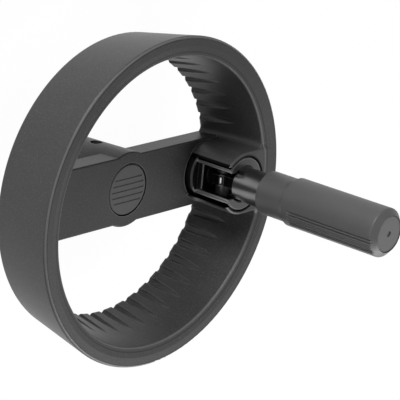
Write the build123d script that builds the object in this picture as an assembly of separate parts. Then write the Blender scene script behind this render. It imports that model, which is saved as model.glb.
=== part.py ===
from build123d import *
import math
import os

# Two-spoke machine handwheel with a cylindrical handle that folds down inside the rim.
# Millimetres and degrees. +Z runs along the bore towards the operator, Z = 0 is the hub's back
# face, and +X points from the bore to the handle.

# Rim: one deep ring whose inner and outer walls lean in towards the back
rim_radius = 80.0            # outer radius at the front face
rim_depth = 37.0
rim_wall = 9.5               # radial thickness
rim_taper = 10.1             # of the outer wall
inner_taper = 9.5
lip_width = 4.8              # flat front face from the outer edge to the soft inner lip
lip_drop = 1.0
rim_edge = 1.2
back_edge = 1.5              # rounding along the back of the inner wall and the boss
# Finger grooves: half-round, deepest at the back, running out up the leaning inner wall
groove_count = 48            # positions round the rim, of which the bar and the boss cover some
groove_radius = 2.1
groove_depth = 2.3
groove_lean = 3.6            # of the groove's axis, outwards towards the front
groove_margin = 7.0          # clear wall between the bar's side and the first groove's centre

# Hub and two-spoke bar
hub_length = 34.4
hub_radius = 18.6
hub_draft = 2.1
bar_recess = 25.6            # front of the rim down to the bar's face
bar_width = 33.6
bar_draft = 3.0
bar_edge = 0.8
bore_radius = 8.0
bush_wall = 4.0
bush_web = 2.4               # casting left between the bush and the cap's recess
bush_clearance = 0.05
cap_radius = 12.4
cap_gap = 0.7                # open ring round the cap's face
cap_height = 6.0
cap_face = 2.0               # thickness of the cap's face
cap_wall = 1.8
cap_snap = 0.05              # clearance of the cap's skirt in the recess
cap_groove_count = 5
cap_groove_pitch = 2.9
cap_groove_width = 0.8
cap_groove_depth = 0.3
set_screw_radius = 3.0
set_screw_length = 8.0
set_screw_height = 12.0      # above the hub's back face
set_screw_back = 0.7         # tip's distance outside the bore
thread_clearance = 0.02

# Boss and the housing that it holds
handle_inset = 25.0          # rim's outer edge to the handle's axis
boss_radius = 15.6
boss_floor = 4.0             # casting left under the housing
boss_edge = 0.8
boss_blend = 3.0             # fillet between the boss and the rim's inner wall
boss_slot = 20.4
housing_radius = 13.4
housing_base = 4.0           # housing's floor under the detent's guide
housing_clearance = 0.4
housing_bore = 9.1
housing_bore_depth = 19.0
housing_slot = 13.0
housing_slot_drop = 3.0      # slot's floor below the bore's
housing_step = 8.7           # handle's axis to the step between the two floors
housing_edge = 0.5
slot_inner_edge = 2.0        # rounding where the slot meets the bore
slot_outer_edge = 1.5
ledge_edge = 0.4             # on the edge of the step in the slot's floor
guide_radius = 5.5
floor_screw_radius = 2.5
floor_screw_head = 5.0
hex_socket = 3.0             # across flats
dowel_radius = 1.5
dowel_length = 6.0
dowel_offset = 9.5           # from the handle's axis, away from the hub

# Fold joint
pivot_depth = 12.8           # below the rim's front face
pin_radius = 2.5
pin_length = 25.4
running_clearance = 0.05
tang_thickness = 5.2
tang_width = 10.0
heel_radius = 6.5
heel_flat = 6.2              # pin axis to the two detent flats
stop_gap = 0.1               # between the stop lug and the housing's bore
stop_height = 5.0
stop_drop = 2.4              # neck's foot down to the lug's top
spacer_radius = 3.6
spacer_gap = 0.1
plunger_travel = 1.6
plunger_wall = 1.2
plunger_roof = 1.4
plunger_gap = 0.1            # below the heel's swing
plunger_slide = 0.1
spring_wire = 0.8
spring_turns = 4.5

# Stem, from the tang outwards
neck_rise = 12.0             # pin axis to the foot of the neck
neck_radius = 8.6
neck_flats = 12.5            # across the two flats that pass between the slot's walls
neck_flat_height = 4.8
neck_edge = 0.6
shoulder_height = 20.0       # rim's front face to the shoulder's outer face
spindle_radius = 4.0
end_recess = 8.6             # grip's outer end to the spindle's end
thrust_thickness = 1.0

# Grip
grip_start = 16.0            # rim's front face to the collar's inner end
grip_length = 71.6
collar_radius = 10.8
collar_length = 12.4
grip_radius = 11.9
grip_swell = 4.4             # length over which the collar swells to the grip
grip_bevel_width = 2.9
grip_bevel_length = 2.7
collar_bore = 9.0
collar_wall_edge = 0.5
bush_radius = 5.5
bush_flange_radius = 7.2
bush_flange = 1.0
inner_bush_length = 12.0
outer_bush_length = 11.0
end_play = 1.0               # room for the spring washer
end_pocket_radius = 7.6
retaining_radius = 6.8
retaining_thickness = 1.2
retaining_head_radius = 4.75
retaining_head_height = 2.75
retaining_thread_radius = 2.5
retaining_thread_length = 10.0
end_cap_radius = 8.8
end_cap_thickness = 1.3
end_cap_inset = 0.3
end_cap_skirt = 1.6
end_cap_fit = 0.05
dimple_radius = 1.4
dimple_depth = 0.6
rib_groups = (-161.0, 19.0)
rib_group_main = (-17.0, -9.0, 9.0, 17.0)
rib_group_fine = (-4.5, 0.0, 4.5)
main_groove = (0.5, 0.75)    # radius of the cut and its depth
fine_groove = (0.4, 0.3)
groove_start = 21.2          # from the collar's inner end
groove_end = 3.1             # from the grip's outer end

# Heights and radii that follow
rim_front = hub_length + bar_recess
rim_back = rim_front - rim_depth
rim_lean = math.tan(math.radians(rim_taper))
inner_lean = math.tan(math.radians(inner_taper))
rim_corner = rim_radius + rim_edge * (rim_lean + math.hypot(1, rim_lean) - 1)
inner_front = rim_radius - rim_wall
crest_radius = inner_front - rim_depth * inner_lean
handle_offset = rim_radius - handle_inset
bush_length = hub_length - cap_height - bush_web
recess_radius = cap_radius + cap_gap
recess_floor = hub_length - cap_height
bush_radius_outer = bore_radius + bush_wall
housing_floor = rim_back + boss_floor
housing_bore_floor = rim_front - housing_bore_depth
slot_floor = housing_bore_floor - housing_slot_drop
guide_floor = housing_floor + housing_base
pivot_height = rim_front - pivot_depth
plunger_top = pivot_height - heel_radius - plunger_gap
plunger_low = guide_floor + plunger_travel
neck_foot = pivot_height + neck_rise
shoulder_top = rim_front + shoulder_height
grip_inner = rim_front + grip_start
grip_outer = grip_inner + grip_length
spindle_end = grip_outer - end_recess
inner_flange_top = shoulder_top + thrust_thickness + bush_flange
outer_flange_top = spindle_end - end_play
cap_seat = grip_outer - end_cap_inset - end_cap_thickness
OVER = 1.0                   # how far a cutter passes the face that it opens
QUARTER = 90.0


def rod(radius, low, high, x=0.0, y=0.0):
    """Cylinder along Z between two heights."""
    return Pos(x, y, low) * Cylinder(radius, high - low, align=(Align.CENTER, Align.CENTER, Align.MIN))


def cross_rod(radius, length, x, z):
    """Cylinder along Y, centred on Y = 0."""
    return Pos(x, 0, z) * Rot(90, 0, 0) * Cylinder(radius, length)


def ring(outer, inner, low, high, x=0.0):
    """Plain tube or washer along Z."""
    return rod(outer, low, high, x) - rod(inner, low - OVER, high + OVER, x)


def block(x_span, y_span, z_span):
    """Box from three pairs of limits."""
    size = [span[1] - span[0] for span in (x_span, y_span, z_span)]
    return Pos(x_span[0], y_span[0], z_span[0]) * Box(*size, align=(Align.MIN, Align.MIN, Align.MIN))


def turned(points, x=0.0):
    """Solid of revolution about a vertical axis from (radius, height) corners."""
    return Pos(x, 0) * revolve(Plane.XZ * make_face(Polyline(*points, close=True)), Axis.Z)


def ring_edges(solid, radius, height):
    """Circular edges of a solid at a given radius and height."""
    circles = solid.edges().filter_by(GeomType.CIRCLE)
    return [e for e in circles if abs(e.radius - radius) < 0.01 and abs(e.center().Z - height) < 0.01]


def countersunk(face, head, shank, length):
    """Cone of a countersunk head with its shank, upwards from a face."""
    depth = head - shank
    corners = [(0, face), (head, face), (shank, face + depth), (shank, face + depth + length), (0, face + depth + length)]
    return turned(corners, handle_offset)


def hex_recess(across, low, high, x=0.0):
    """Hexagonal socket along Z."""
    profile = Plane.XY.offset(low) * Pos(x, 0) * RegularPolygon(across / 2, 6, major_radius=False)
    return extrude(profile, high - low)


# Wheel casting ------------------------------------------------------------------------------

def plain_rim():
    """Leaning ring with a soft inner lip."""
    lip_radius = rim_radius - lip_width
    lip_edge = inner_front - lip_drop * inner_lean
    back_corner = rim_corner - rim_depth * rim_lean
    solid = turned([
        (crest_radius, rim_back), (back_corner, rim_back), (rim_corner, rim_front),
        (lip_radius, rim_front), (lip_edge, rim_front - lip_drop)])
    front = ring_edges(solid, rim_corner, rim_front) + ring_edges(solid, lip_edge, rim_front - lip_drop)
    return fillet(front + ring_edges(solid, back_corner, rim_back), rim_edge)


def finger_grooves():
    """Cutters for the finger grooves, left out where the bar and the boss cover the wall."""
    pitch = 360.0 / groove_count
    covered = math.degrees(math.asin((bar_width / 2 + groove_margin) / crest_radius))
    centre = crest_radius + groove_depth - groove_radius
    cutter = Pos(centre, 0, rim_back) * Rot(0, groove_lean, 0) * Cylinder(groove_radius, 2 * rim_depth)
    turns = [step * pitch for step in range(groove_count)]
    return [Rot(0, 0, turn) * cutter for turn in turns if covered < turn % 180 < 180 - covered]


def spoke_bar():
    """Flat bar from rim to rim, narrower at the back, flush with the rim's back face."""
    reach = 2 * (crest_radius + rim_wall / 2)
    thickness = hub_length - rim_back
    back_width = bar_width - 2 * thickness * math.tan(math.radians(bar_draft))
    front = Plane.XY.offset(hub_length) * Rectangle(reach, bar_width)
    back = Plane.XY.offset(rim_back) * Rectangle(reach, back_width)
    bar = loft([back, front])
    long_edges = [e for e in bar.edges() if e.length > reach - 1 and e.center().Z > hub_length - 0.01]
    return fillet(long_edges, bar_edge)


def hub_barrel():
    """Slightly tapered hub, from the bar's face to the back face."""
    back_radius = hub_radius - hub_length * math.tan(math.radians(hub_draft))
    solid = turned([(0, 0), (back_radius, 0), (hub_radius, hub_length), (0, hub_length)])
    return fillet(ring_edges(solid, hub_radius, hub_length) + ring_edges(solid, back_radius, 0), bar_edge)


def handle_boss():
    """Round-nosed boss from the rim's wall inwards, as deep as the rim."""
    middle = rim_radius - rim_wall / 2
    flank = block((handle_offset, rim_radius), (-boss_radius, boss_radius), (rim_back, rim_front))
    solid = rod(boss_radius, rim_back, rim_front, handle_offset) + flank
    solid = fillet([e for e in solid.edges() if e.center().Z > rim_front - 0.01], boss_edge)
    return solid & turned([(0, rim_back), (middle - rim_depth * rim_lean, rim_back), (middle, rim_front), (0, rim_front)])


def blended_rim():
    """Rim with the boss grown out of its wall and a rounded back edge along both."""
    body = plain_rim() + handle_boss()
    seams = [e for e in body.edges() if e.length > 0.9 * rim_depth and abs(abs(e.center().Y) - boss_radius) < 1]
    body = fillet(seams, boss_blend)
    back = body.faces().sort_by(Axis.Z)[0]
    return fillet(back.inner_wires()[0].edges(), back_edge)


def wheel_body():
    """One casting: rim, bar, hub and boss, with its machined holes."""
    body = blended_rim() - finger_grooves() + spoke_bar() + hub_barrel()
    pocket = housing_radius + housing_clearance
    slot = block((hub_radius, handle_offset), (-boss_slot / 2, boss_slot / 2), (hub_length, rim_front + OVER))
    cuts = [
        rod(bush_radius_outer + bush_clearance, -OVER, bush_length),
        rod(bush_radius_outer - bush_wall / 2, 0, hub_length),
        rod(recess_radius, recess_floor, hub_length + OVER),
        Pos(0, hub_radius / 2, set_screw_height) * Rot(90, 0, 0) * Cylinder(set_screw_radius, hub_radius + OVER),
        rod(pocket, housing_floor, rim_front + OVER, handle_offset),
        slot,
        rod(floor_screw_radius + housing_clearance, rim_back - OVER, housing_floor + OVER, handle_offset),
        countersunk(rim_back, floor_screw_head + housing_clearance, floor_screw_radius, OVER),
        rod(dowel_radius + bush_clearance, rim_back - OVER, housing_floor + OVER, handle_offset + dowel_offset),
    ]
    return body - cuts


# Pieces in the hub ---------------------------------------------------------------------------

def hub_bush():
    """Plain steel bush that carries the shaft bore, crossed by the set screw's hole."""
    bush = ring(bush_radius_outer, bore_radius, 0, bush_length)
    bush = chamfer(ring_edges(bush, bush_radius_outer, 0), 0.5)
    return bush - Pos(0, bush_radius_outer, set_screw_height) * Rot(90, 0, 0) * Cylinder(
        set_screw_radius + bush_clearance, bush_radius_outer)


def hub_cap():
    """Push-in cap: grooved face on a wider skirt."""
    face_low = hub_length - cap_face
    cap = rod(cap_radius, face_low, hub_length)
    cap = chamfer(ring_edges(cap, cap_radius, hub_length), 0.4)
    skirt = recess_radius - cap_snap
    cap = cap + rod(skirt, recess_floor, face_low) - rod(skirt - cap_wall, recess_floor - OVER, face_low)
    for index in range(cap_groove_count):
        y = (index - (cap_groove_count - 1) / 2) * cap_groove_pitch
        reach = math.sqrt((cap_radius - 1.6) ** 2 - y ** 2)
        half = cap_groove_width / 2
        cap = cap - block((-reach, reach), (y - half, y + half), (hub_length - cap_groove_depth, hub_length + OVER))
    return cap


def hub_set_screw():
    """Socket set screw that bears on the shaft."""
    tip = bore_radius + set_screw_back
    screw = Cylinder(set_screw_radius - thread_clearance, set_screw_length, align=(Align.CENTER, Align.CENTER, Align.MIN))
    screw = chamfer(screw.edges().filter_by(GeomType.CIRCLE), 0.5)
    screw = screw - hex_recess(hex_socket, set_screw_length / 2, set_screw_length + OVER)
    return Pos(0, tip, set_screw_height) * Rot(-90, 0, 0) * screw


# Pieces in the boss --------------------------------------------------------------------------

def slotted_disc(inner, bottom, top):
    """Disc on the handle's axis, open towards the hub; with no inner end given, the slot runs into the bore."""
    half = housing_slot / 2
    disc = Circle(housing_radius)
    slot = Pos(-(housing_radius + OVER + inner) / 2, 0) * Rectangle(housing_radius + OVER - inner, housing_slot)
    disc = disc - slot
    if inner == 0:
        disc = disc - Circle(housing_bore)
    outer = [v for v in disc.vertices() if abs(math.hypot(v.X, v.Y) - housing_radius) < 0.01 and abs(v.Y) > half - 0.01]
    disc = fillet([v for v in outer if v.X < 0 and abs(v.Y) < half + 0.01], slot_outer_edge)
    if inner == 0:
        near = [v for v in disc.vertices() if abs(math.hypot(v.X, v.Y) - housing_bore) < 0.01]
        disc = fillet([v for v in near if v.X < 0 and abs(abs(v.Y) - half) < 0.01], slot_inner_edge)
    return Pos(handle_offset, 0, bottom) * extrude(disc, top - bottom)


def handle_housing():
    """Steel cup in the boss with the fold slot, the pin's holes and the detent's guide."""
    x = handle_offset
    housing = rod(housing_radius, housing_floor, slot_floor, x)
    housing = housing + slotted_disc(housing_step, slot_floor, housing_bore_floor)
    housing = housing + slotted_disc(0, housing_bore_floor, rim_front)
    step = [e for e in housing.edges().filter_by(Axis.Y) if abs(e.center().Z - housing_bore_floor) < 0.01]
    housing = chamfer(step, ledge_edge)
    top = housing.faces().sort_by(Axis.Z)[-1]
    housing = chamfer(top.edges(), housing_edge)
    return housing - [
        rod(guide_radius, guide_floor, housing_bore_floor + OVER, x),
        rod(floor_screw_radius + thread_clearance, housing_floor - OVER, guide_floor + OVER, x),
        rod(dowel_radius + bush_clearance, housing_floor - OVER, housing_floor + dowel_length / 2 + running_clearance,
            x + dowel_offset),
        cross_rod(pin_radius + bush_clearance, 2 * housing_radius + OVER, x, pivot_height),
    ]


def housing_screw():
    """Countersunk screw from the back of the boss into the housing's floor."""
    face = rim_back + housing_clearance
    shank = floor_screw_radius
    screw = countersunk(face, floor_screw_head, shank, boss_floor + housing_base - floor_screw_head + shank)
    return screw - hex_recess(hex_socket, face - OVER, face + floor_screw_head - shank, handle_offset)


def housing_dowel():
    """Dowel that keeps the housing from turning in the boss."""
    middle = housing_floor
    dowel = rod(dowel_radius, middle - dowel_length / 2, middle + dowel_length / 2, handle_offset + dowel_offset)
    return chamfer(dowel.edges().filter_by(GeomType.CIRCLE), 0.3)


def pivot_pin():
    """Cross pin that the handle folds about."""
    pin = cross_rod(pin_radius, pin_length, handle_offset, pivot_height)
    return chamfer(pin.edges().filter_by(GeomType.CIRCLE), 0.4)


def pivot_spacers():
    """Two tubes on the pin that centre the tang."""
    inner = tang_thickness / 2 + spacer_gap
    outer = math.sqrt(housing_bore ** 2 - spacer_radius ** 2) - spacer_gap
    tube = cross_rod(spacer_radius, outer - inner, handle_offset, pivot_height)
    tube = tube - cross_rod(pin_radius + bush_clearance, 2 * housing_bore, handle_offset, pivot_height)
    middle = (inner + outer) / 2
    return Part() + [Pos(0, side * middle, 0) * tube for side in (-1, 1)]


def detent_plunger():
    """Cup-shaped plunger that stands just clear of the heel's swing."""
    radius = guide_radius - plunger_slide
    plunger = rod(radius, plunger_low, plunger_top, handle_offset)
    plunger = chamfer(ring_edges(plunger, radius, plunger_top), 0.6)
    return plunger - rod(radius - plunger_wall, plunger_low - OVER, plunger_top - plunger_roof, handle_offset)


def detent_spring():
    """Round-wire compression spring between the guide's floor and the plunger's roof."""
    wire = spring_wire / 2
    mean = guide_radius - plunger_slide - plunger_wall - spring_wire
    height = plunger_top - plunger_roof - guide_floor - 2 * wire - 2 * running_clearance
    path = Helix(height / spring_turns, height, mean)
    spring = sweep(Plane(origin=path @ 0, z_dir=path % 0) * Circle(wire), path=path)
    return Pos(handle_offset, 0, guide_floor + wire + running_clearance) * spring


# Handle stem and grip ------------------------------------------------------------------------

def handle_stem():
    """One turned and milled piece: tang with round heel, stop lug, round neck with two flats and spindle."""
    x = handle_offset
    half = tang_thickness / 2
    heel = cross_rod(heel_radius, tang_thickness, x, pivot_height)
    heel = heel & block((x - heel_flat, x + heel_radius), (-half, half), (pivot_height - heel_flat, neck_foot))
    tang = block((x - tang_width / 2, x + tang_width / 2), (-half, half), (pivot_height, neck_foot))
    lug_top = neck_foot - stop_drop
    reach = math.sqrt(housing_bore ** 2 - half ** 2) - stop_gap
    lug = block((x, x + reach), (-half, half), (lug_top - stop_height, lug_top))
    neck = rod(neck_radius, neck_foot, shoulder_top, x)
    neck = chamfer(neck.edges().filter_by(GeomType.CIRCLE), neck_edge)
    flat_top = neck_foot + neck_flat_height
    for side in (-1, 1):
        near = side * neck_flats / 2
        far = side * (neck_radius + OVER)
        neck = neck - block((x - neck_radius - OVER, x + neck_radius + OVER), (min(near, far), max(near, far)),
                            (neck_foot - OVER, flat_top))
    spindle = rod(spindle_radius, shoulder_top, spindle_end, x)
    spindle = chamfer(ring_edges(spindle, spindle_radius, spindle_end), 0.4)
    stem = heel + tang + lug + neck + spindle
    stem = stem - cross_rod(pin_radius + running_clearance, 2 * housing_bore, x, pivot_height)
    thread = retaining_thread_radius + thread_clearance
    return stem - rod(thread, spindle_end - retaining_thread_length - OVER, spindle_end + OVER, x)


def thrust_washer():
    """Flat washer between the stem's shoulder and the inner bush."""
    return ring(neck_radius - neck_edge, spindle_radius + running_clearance, shoulder_top,
                shoulder_top + thrust_thickness, handle_offset)


def flanged_bush(flange_low, tube_low, tube_high):
    """Plain bearing bush for the spindle, with a flange at one end."""
    bush = rod(bush_radius, tube_low, tube_high, handle_offset)
    bush = bush + rod(bush_flange_radius, flange_low, flange_low + bush_flange, handle_offset)
    return bush - rod(spindle_radius + running_clearance, tube_low - OVER, tube_high + OVER, handle_offset)


def inner_bush():
    """Flanged bush at the grip's inner end."""
    low = inner_flange_top - bush_flange
    return flanged_bush(low, low, low + inner_bush_length)


def outer_bush():
    """Flanged bush at the grip's outer end."""
    high = outer_flange_top
    return flanged_bush(high - bush_flange, high - outer_bush_length, high)


def grip_sleeve():
    """Moulded grip: plain collar, soft swell, two groups of long grooves and a bevelled end."""
    swell_end = grip_inner + collar_length + grip_swell
    bevel_low = grip_outer - grip_bevel_length
    swell = EllipticalCenterArc((collar_radius, swell_end), grip_radius - collar_radius, grip_swell, -QUARTER,
                                arc_size=QUARTER)
    rest = Polyline((grip_radius, swell_end), (grip_radius, bevel_low), (grip_radius - grip_bevel_width, grip_outer),
                    (0, grip_outer), (0, grip_inner), (collar_radius, grip_inner),
                    (collar_radius, grip_inner + collar_length))
    sleeve = Pos(handle_offset, 0) * revolve(Plane.XZ * make_face(swell + rest), Axis.Z)
    soft = ring_edges(sleeve, grip_radius, bevel_low) + ring_edges(sleeve, collar_radius, grip_inner)
    sleeve = fillet(soft, collar_wall_edge)
    x = handle_offset
    sleeve = sleeve - [
        rod(bush_radius + bush_clearance, grip_inner - OVER, grip_outer + OVER, x),
        rod(collar_bore, grip_inner - OVER, inner_flange_top, x),
        rod(end_pocket_radius, outer_flange_top - bush_flange, grip_outer + OVER, x),
        rod(end_cap_radius + end_cap_fit, cap_seat, grip_outer + OVER, x),
    ]
    return sleeve - grip_grooves()


def grip_grooves():
    """Cutters for the long grooves, each tapering out at both ends."""
    cutters = []
    low = grip_inner + groove_start
    high = grip_outer - groove_end
    for angles, (radius, depth) in ((rib_group_main, main_groove), (rib_group_fine, fine_groove)):
        reach = grip_radius + radius - depth
        end = 2 * radius
        cutter = turned([(0, low), (radius, low + end), (radius, high - end), (0, high)], reach)
        for middle in rib_groups:
            cutters += [Pos(handle_offset, 0) * Rot(0, 0, middle + angle) * cutter for angle in angles]
    return cutters


def spring_washer():
    """Conical washer that takes up the grip's end play."""
    low = outer_flange_top + running_clearance
    high = spindle_end - running_clearance
    thickness = 0.3
    inner = spindle_radius + 0.2
    outer = bush_flange_radius - 0.2
    return turned([(outer, low), (outer, low + thickness), (inner, high), (inner, high - thickness)], handle_offset)


def retaining_washer():
    """Thick washer on the spindle's end."""
    washer = ring(retaining_radius, retaining_thread_radius + 0.15, spindle_end, spindle_end + retaining_thickness,
                  handle_offset)
    return chamfer(ring_edges(washer, retaining_radius, spindle_end + retaining_thickness), 0.3)


def retaining_screw():
    """Button-head screw in the spindle's end."""
    seat = spindle_end + retaining_thickness
    top = seat + retaining_head_height
    head = rod(retaining_head_radius, seat, top, handle_offset)
    head = fillet(ring_edges(head, retaining_head_radius, top), 1.8)
    screw = head + rod(retaining_thread_radius, spindle_end - retaining_thread_length, seat, handle_offset)
    return screw - hex_recess(hex_socket, top - 1.7, top + OVER, handle_offset)


def end_cap():
    """Push-in disc that closes the grip's outer end."""
    disc = rod(end_cap_radius, cap_seat, cap_seat + end_cap_thickness, handle_offset)
    disc = chamfer(ring_edges(disc, end_cap_radius, cap_seat + end_cap_thickness), 0.3)
    skirt = end_pocket_radius - end_cap_fit
    disc = disc + ring(skirt, skirt - 0.8, cap_seat - end_cap_skirt, cap_seat, handle_offset)
    return disc - rod(dimple_radius, cap_seat + end_cap_thickness - dimple_depth, grip_outer + OVER, handle_offset)


pieces = [
    wheel_body, hub_bush, hub_cap, hub_set_screw, handle_housing, housing_screw, housing_dowel, pivot_pin,
    pivot_spacers, detent_plunger, detent_spring, handle_stem, thrust_washer, inner_bush, outer_bush,
    grip_sleeve, spring_washer, retaining_washer, retaining_screw, end_cap]

if __name__ == "__main__":
    os.makedirs("parts", exist_ok=True)
    for piece in pieces:
        export_step(piece(), f"parts/{piece.__name__}.step")
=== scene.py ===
"""Dresses a machine handwheel with a fold-away handle: finishes, studio and camera.

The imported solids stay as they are. Every finish is a small class that builds one procedural
material, every sub-assembly is a class that dresses its own nodes, and a studio class sets the
floor, lamps and world. Lengths are metres in the frame of the part.
"""

import logging
import math
from dataclasses import dataclass, field
from enum import Enum
from typing import Any, ClassVar, Mapping, Sequence, Union

import bmesh
import bpy
from mathutils import Matrix, Vector

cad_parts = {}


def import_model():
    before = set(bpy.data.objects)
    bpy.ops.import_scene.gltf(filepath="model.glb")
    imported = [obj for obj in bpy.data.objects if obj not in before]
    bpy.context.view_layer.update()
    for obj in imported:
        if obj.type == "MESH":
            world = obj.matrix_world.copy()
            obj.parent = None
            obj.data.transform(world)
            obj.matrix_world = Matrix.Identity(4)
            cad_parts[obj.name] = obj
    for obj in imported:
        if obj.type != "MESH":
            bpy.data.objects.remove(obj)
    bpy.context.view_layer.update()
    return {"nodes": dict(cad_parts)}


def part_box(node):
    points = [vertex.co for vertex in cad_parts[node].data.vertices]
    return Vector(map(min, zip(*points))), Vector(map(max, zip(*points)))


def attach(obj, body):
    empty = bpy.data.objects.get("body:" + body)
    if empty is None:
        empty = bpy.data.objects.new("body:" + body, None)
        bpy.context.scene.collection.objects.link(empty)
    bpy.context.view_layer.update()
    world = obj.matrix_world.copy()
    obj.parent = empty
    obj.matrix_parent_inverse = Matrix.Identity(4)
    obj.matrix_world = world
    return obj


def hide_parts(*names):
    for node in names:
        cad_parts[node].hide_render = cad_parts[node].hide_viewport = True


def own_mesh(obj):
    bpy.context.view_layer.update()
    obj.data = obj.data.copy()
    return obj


LOG = logging.getLogger("handwheel")
MM = 0.001
WHITE = (1.0, 1.0, 1.0, 1.0)
# The open ends of a band, in metres: beyond anything in the part.
LOWEST, HIGHEST = -1.0, 1.0
# A Mix node's colour sockets.
MIX_UNDER, MIX_OVER, MIX_RESULT = 6, 7, 2
BEVEL_SAMPLES = 4
EDGE_GAIN = 6.0
# Points nearer than this are one point.
MERGE_GAP = 0.002 * MM
SHARP_ANGLE = math.radians(34)
HALF_TURN = 180.0

Number = Union[int, float]
Operand = Union["Value", Number]
Colour = tuple[float, float, float]
# A point of a lathed outline, as radius and height.
OutlinePoint = tuple[float, float]


class Value:
    """A shader socket that can be used in a Python expression."""

    def __init__(self, graph: "Graph", socket: bpy.types.NodeSocket) -> None:
        """Wraps one output socket.

        Args:
            graph: The graph that owns the socket's node.
            socket: The output socket.
        """
        self.graph = graph
        self.socket = socket

    def _math(self, operation: str, first: Operand, second: Operand) -> "Value":
        """Adds one Math node.

        Args:
            operation: The Math node's operation.
            first: Its first operand.
            second: Its second operand.

        Returns:
            The node's result.
        """
        return self.graph.math(operation, first, second)

    def __add__(self, other: Operand) -> "Value":
        """Returns self + other."""
        return self._math("ADD", self, other)

    def __radd__(self, other: Operand) -> "Value":
        """Returns other + self."""
        return self._math("ADD", other, self)

    def __sub__(self, other: Operand) -> "Value":
        """Returns self - other."""
        return self._math("SUBTRACT", self, other)

    def __rsub__(self, other: Operand) -> "Value":
        """Returns other - self."""
        return self._math("SUBTRACT", other, self)

    def __mul__(self, other: Operand) -> "Value":
        """Returns self * other."""
        return self._math("MULTIPLY", self, other)

    def __rmul__(self, other: Operand) -> "Value":
        """Returns other * self."""
        return self._math("MULTIPLY", other, self)

    def __truediv__(self, other: Operand) -> "Value":
        """Returns self / other."""
        return self._math("DIVIDE", self, other)

    def __rtruediv__(self, other: Operand) -> "Value":
        """Returns other / self."""
        return self._math("DIVIDE", other, self)

    def __pow__(self, other: Operand) -> "Value":
        """Returns self to the power of other."""
        return self._math("POWER", self, other)

    def other(self, output: Any) -> "Value":
        """Returns another output of the same node."""
        return Value(self.graph, self.socket.node.outputs[output])

    def most(self, other: Operand) -> "Value":
        """Returns the larger of the two."""
        return self._math("MAXIMUM", self, other)

    def least(self, other: Operand) -> "Value":
        """Returns the smaller of the two."""
        return self._math("MINIMUM", self, other)


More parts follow.
